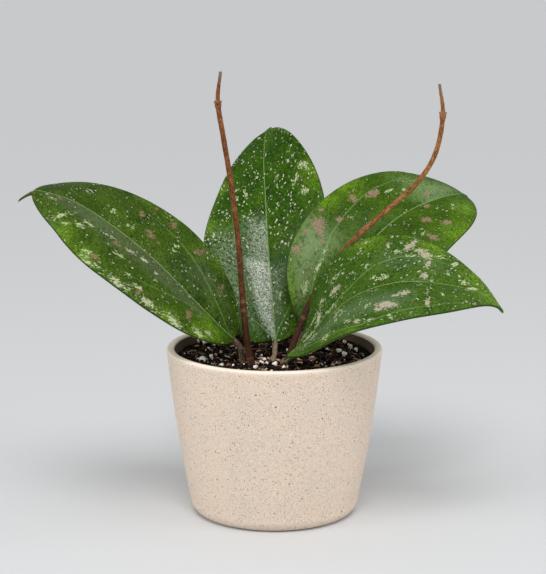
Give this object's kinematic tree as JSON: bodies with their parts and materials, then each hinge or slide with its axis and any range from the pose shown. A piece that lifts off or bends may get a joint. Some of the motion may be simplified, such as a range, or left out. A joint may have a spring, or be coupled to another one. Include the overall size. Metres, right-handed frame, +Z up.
{
  "type": "potted hoya plant",
  "caption": "Houseplant with broad thick leaves and bare bent vines, rooted in potting mix in a round bowed stoneware pot.",
  "frame": {"origin": "centre of the pot's flat underside", "axes": "+Z up along the pot's axis, -Y towards the front of the pictured view, +X to its right"},
  "size_m": [0.2591, 0.1829, 0.2476],
  "materials": {
    "pot": "matt sand stoneware",
    "potting_mix": "dark damp peat and bark with perlite",
    "stem_left": "smooth brown bark",
    "stem_right": "smooth brown bark",
    "leaf_left": "waxy leaf",
    "leaf_centre": "waxy leaf",
    "leaf_right_back": "waxy leaf",
    "leaf_right_front": "waxy leaf"
  },
  "bodies": {
    "root": {"pot": "pot", "potting_mix": "potting_mix", "stem_left": "stem_left", "stem_right": "stem_right", "leaf_left": "leaf_left", "leaf_centre": "leaf_centre", "leaf_right_back": "leaf_right_back", "leaf_right_front": "leaf_right_front"}
  },
  "joints": []
}
